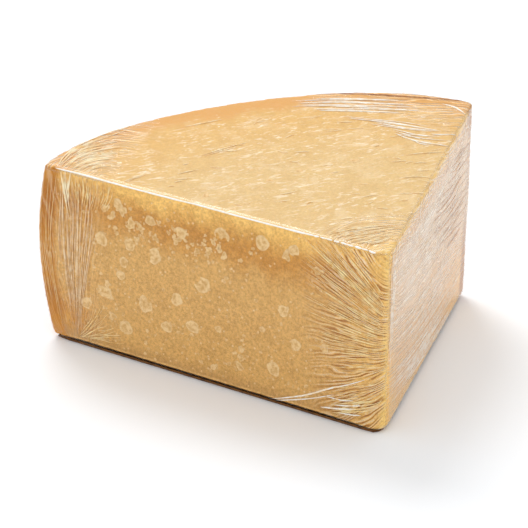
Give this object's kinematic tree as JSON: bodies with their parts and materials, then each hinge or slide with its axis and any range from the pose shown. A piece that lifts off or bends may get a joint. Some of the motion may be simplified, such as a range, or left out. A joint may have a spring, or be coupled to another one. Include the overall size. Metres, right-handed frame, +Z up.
{
  "type": "film-wrapped wedge of hard aged cheese",
  "caption": "Wedge of hard grating cheese cut from a flat wheel, with a bulging rind at the back, sealed in tight clear film.",
  "frame": {"origin": "bottom centre of the bounding box, on the surface the wedge stands on", "axes": "+Z up; the long front cut faces -Y, the right cut faces +X, the tip is at +X and -Y, the rind rim closes the -X and +Y sides"},
  "size_m": [0.1824, 0.1464, 0.096],
  "materials": {
    "cheese": "pale straw paste with crumbly grain, chalky crystals and an amber rind",
    "film": "tight clear food film, glossy, with whitish wrinkles"
  },
  "bodies": {
    "root": {"cheese_wedge": "cheese"}
  },
  "joints": []
}
